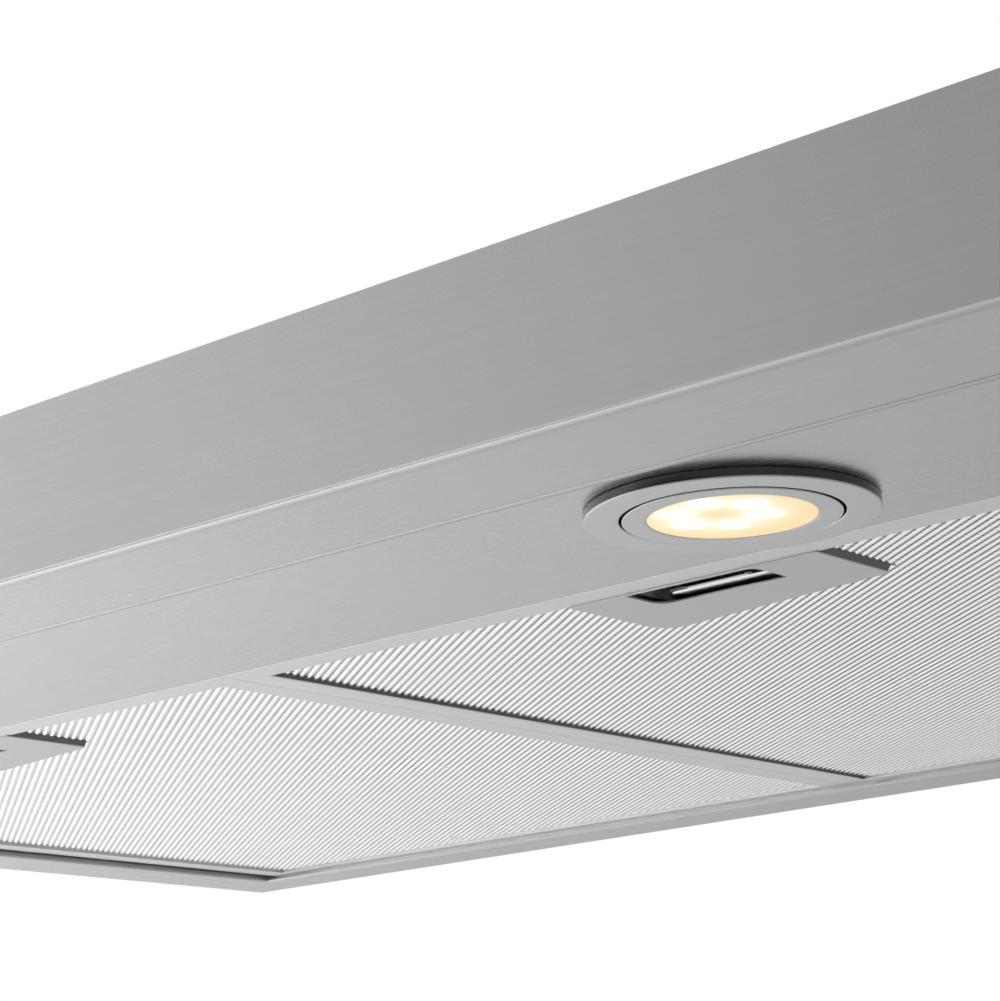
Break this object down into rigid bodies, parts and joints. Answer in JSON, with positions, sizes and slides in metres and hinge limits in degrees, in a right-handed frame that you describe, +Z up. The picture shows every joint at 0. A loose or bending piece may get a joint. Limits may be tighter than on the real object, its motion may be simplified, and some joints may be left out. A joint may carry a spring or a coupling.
{
  "type": "under cabinet range hood",
  "caption": "Under cabinet range hood with a chamfered steel lip, round lamps in a light strip, hinged mesh filters, blower and dampered duct collar.",
  "frame": {"origin": "on the flat top face, on the centre plane, halfway between the top panel's front and back edges", "axes": "+X along the width, +Z up, the front lip faces -Y"},
  "size_m": [0.759, 0.5048, 0.18],
  "materials": {
    "brushed_steel": "brushed, grain along the width",
    "filter_rail": "satin anodised",
    "filter_mesh": "expanded mesh, bright",
    "latch_plate": "matte satin",
    "chrome": "polished",
    "spring_wire": "drawn wire",
    "lamp_trim": "satin nickel plated",
    "lamp_lens": "frosted, lit warm white from behind",
    "circuit_board": "white solder mask",
    "cast_aluminium": "cast",
    "zinc_plate": "zinc plated sheet",
    "housing_plastic": "moulded",
    "black_plastic": "moulded",
    "bezel_plastic": "fine grained",
    "button_cap": "satin",
    "bearing_steel": "ground",
    "motor_paint": "satin enamel"
  },
  "bodies": {
    "hood": {"front_panel": "brushed_steel", "light_panel": "brushed_steel", "top_panel": "brushed_steel", "side_panel_left": "brushed_steel", "side_panel_right": "brushed_steel", "back_panel": "brushed_steel", "lamp_ring_left": "lamp_trim", "lamp_ring_right": "lamp_trim", "lamp_bezel_left": "lamp_trim", "lamp_bezel_right": "lamp_trim", "lamp_lens_left": "lamp_lens", "lamp_lens_right": "lamp_lens", "led_board_left": "circuit_board", "led_board_right": "circuit_board", "lamp_can_left": "cast_aluminium", "lamp_can_right": "cast_aluminium", "lamp_clip_left": "zinc_plate", "lamp_clip_right": "zinc_plate", "blower_housing_left": "housing_plastic", "blower_housing_right": "housing_plastic", "inlet_ring_left": "zinc_plate", "inlet_ring_right": "zinc_plate", "motor_housing": "motor_paint", "motor_bearing_left": "bearing_steel", "motor_bearing_right": "bearing_steel", "motor_bracket": "zinc_plate", "bracket_screw_front": "zinc_plate", "bracket_screw_rear": "zinc_plate", "run_capacitor": "black_plastic", "duct_collar": "zinc_plate", "control_bezel": "bezel_plastic", "switch_housing": "black_plastic", "switch_board": "circuit_board", "junction_box": "zinc_plate", "junction_cover": "zinc_plate", "cover_screw": "zinc_plate", "led_driver": "black_plastic"},
    "fan": {"impeller_left": "black_plastic", "impeller_right": "black_plastic", "motor_shaft": "bearing_steel"},
    "damper_front": {"damper_flap_front": "zinc_plate", "damper_rod_front": "bearing_steel"},
    "damper_rear": {"damper_flap_rear": "zinc_plate", "damper_rod_rear": "bearing_steel"},
    "filter_left": {"filter_frame_left": "filter_rail", "filter_mesh_left": "filter_mesh", "latch_plate_left": "latch_plate", "latch_spring_left": "spring_wire"},
    "latch_left": {"latch_slide_left": "chrome"},
    "filter_right": {"filter_frame_right": "filter_rail", "filter_mesh_right": "filter_mesh", "latch_plate_right": "latch_plate", "latch_spring_right": "spring_wire"},
    "latch_right": {"latch_slide_right": "chrome"},
    "button_light": {"button_light": "button_cap"},
    "button_off": {"button_off": "button_cap"},
    "button_low": {"button_low": "button_cap"},
    "button_medium": {"button_medium": "button_cap"},
    "button_high": {"button_high": "button_cap"}
  },
  "joints": [
    {"name": "fan_spin", "type": "hinge", "parent": "hood", "child": "fan", "pos_m": [0, 0.056, -0.057], "axis": [1, 0, 0], "continuous": true},
    {"name": "damper_front_swing", "type": "hinge", "parent": "hood", "child": "damper_front", "pos_m": [0, 0.075, 0.024], "axis": [-1, 0, 0], "range_deg": [0, 80]},
    {"name": "damper_rear_swing", "type": "hinge", "parent": "hood", "child": "damper_rear", "pos_m": [0, 0.081, 0.024], "axis": [1, 0, 0], "range_deg": [0, 80]},
    {"name": "filter_left_drop", "type": "hinge", "parent": "hood", "child": "filter_left", "pos_m": [-0.17165, 0.1228, -0.1273], "axis": [1, 0, 0], "range_deg": [0, 75]},
    {"name": "latch_left_pull", "type": "slide", "parent": "filter_left", "child": "latch_left", "axis": [0, 1, 0], "range_m": [0, 0.005], "stiffness_N_per_m": 400, "deforming": ["latch_spring_left"]},
    {"name": "filter_right_drop", "type": "hinge", "parent": "hood", "child": "filter_right", "pos_m": [0.17165, 0.1228, -0.1273], "axis": [1, 0, 0], "range_deg": [0, 75]},
    {"name": "latch_right_pull", "type": "slide", "parent": "filter_right", "child": "latch_right", "axis": [0, 1, 0], "range_m": [0, 0.005], "stiffness_N_per_m": 400, "deforming": ["latch_spring_right"]},
    {"name": "button_light_press", "type": "slide", "parent": "hood", "child": "button_light", "axis": [0, 1, 0], "range_m": [0, 0.002], "stiffness_N_per_m": 600},
    {"name": "button_off_press", "type": "slide", "parent": "hood", "child": "button_off", "axis": [0, 1, 0], "range_m": [0, 0.002], "stiffness_N_per_m": 600},
    {"name": "button_low_press", "type": "slide", "parent": "hood", "child": "button_low", "axis": [0, 1, 0], "range_m": [0, 0.002], "stiffness_N_per_m": 600},
    {"name": "button_medium_press", "type": "slide", "parent": "hood", "child": "button_medium", "axis": [0, 1, 0], "range_m": [0, 0.002], "stiffness_N_per_m": 600},
    {"name": "button_high_press", "type": "slide", "parent": "hood", "child": "button_high", "axis": [0, 1, 0], "range_m": [0, 0.002], "stiffness_N_per_m": 600}
  ]
}
